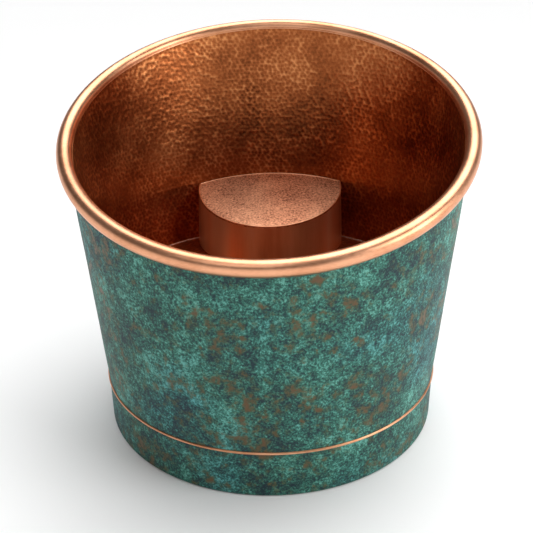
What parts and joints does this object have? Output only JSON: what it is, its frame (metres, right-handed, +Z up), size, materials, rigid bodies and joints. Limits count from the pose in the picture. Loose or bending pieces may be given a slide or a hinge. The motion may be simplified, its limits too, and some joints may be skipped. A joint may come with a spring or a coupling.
{
  "type": "tabletop water fountain",
  "caption": "Round double-walled copper basin with a sloping rolled rim; water from a small pump in a covered chamber at the high back runs over a sloping lid into the basin.",
  "frame": {"origin": "on the surface the fountain stands on, at the vessel's own vertical axis", "axes": "+Z up, +Y towards the high back of the rim and the pump chamber, +X to the right seen from the low front"},
  "size_m": [0.4034, 0.4035, 0.3779],
  "materials": {
    "verdigris_copper": "copper sheet with a mottled blue-green and brown patina",
    "polished_copper": "satin-polished copper",
    "hammered_copper": "planished copper, red-brown, with small hammer marks",
    "smooth_copper": "smooth brushed copper sheet",
    "rubber": "soft black rubber",
    "steel": "stainless steel",
    "black_plastic": "moulded black plastic",
    "dial_plastic": "moulded grey plastic",
    "impeller_plastic": "moulded pale plastic",
    "clear_hose": "soft clear hose, slightly milky",
    "ferrite": "dark sintered ferrite",
    "ceramic": "polished white ceramic",
    "coil_wire": "enamelled copper winding"
  },
  "bodies": {
    "root": {"base_band": "verdigris_copper", "base_bead": "polished_copper", "basin_floor": "hammered_copper", "basin_wall": "hammered_copper", "bottom_plate": "smooth_copper", "chamber_wall": "smooth_copper", "cover_seal": "rubber", "floor_grommet": "rubber", "foot_nuts": "steel", "foot_pad_1": "rubber", "foot_pad_2": "rubber", "foot_pad_3": "rubber", "foot_pad_4": "rubber", "foot_screws": "steel", "front_bush": "rubber", "intake_cover": "black_plastic", "motor_cover": "black_plastic", "outer_wall": "verdigris_copper", "outlet_elbow": "black_plastic", "pump_body": "black_plastic", "pump_gland": "rubber", "rear_bush": "rubber", "rim_roll": "polished_copper", "rotor_shaft": "ceramic", "spreader_spigot": "smooth_copper", "spreader_trough": "black_plastic", "stator_coil": "coil_wire", "stator_core": "steel", "suction_cup_1": "rubber", "suction_cup_2": "rubber", "suction_cup_3": "rubber", "suction_cup_4": "rubber", "volute_cover": "black_plastic", "wall_grommet": "rubber", "wall_spacers": "smooth_copper", "water_hose": "clear_hose"},
    "lid": {"chamber_lid": "hammered_copper", "lid_lug_1": "smooth_copper", "lid_lug_2": "smooth_copper", "lid_lug_3": "smooth_copper"},
    "rotor": {"rotor_magnet": "ferrite", "impeller": "impeller_plastic"},
    "dial": {"flow_dial": "dial_plastic"}
  },
  "joints": [
    {"name": "lid_lift", "type": "slide", "parent": "root", "child": "lid", "axis": [0, 0, 1], "range_m": [0, 0.24]},
    {"name": "impeller_spin", "type": "hinge", "parent": "root", "child": "rotor", "pos_m": [-0.0074, 0.09, 0.144], "axis": [0, -1, 0], "continuous": true},
    {"name": "dial_turn", "type": "hinge", "parent": "root", "child": "dial", "pos_m": [-0.0074, 0.073, 0.144], "axis": [0, -1, 0], "range_deg": [0, 30]}
  ]
}
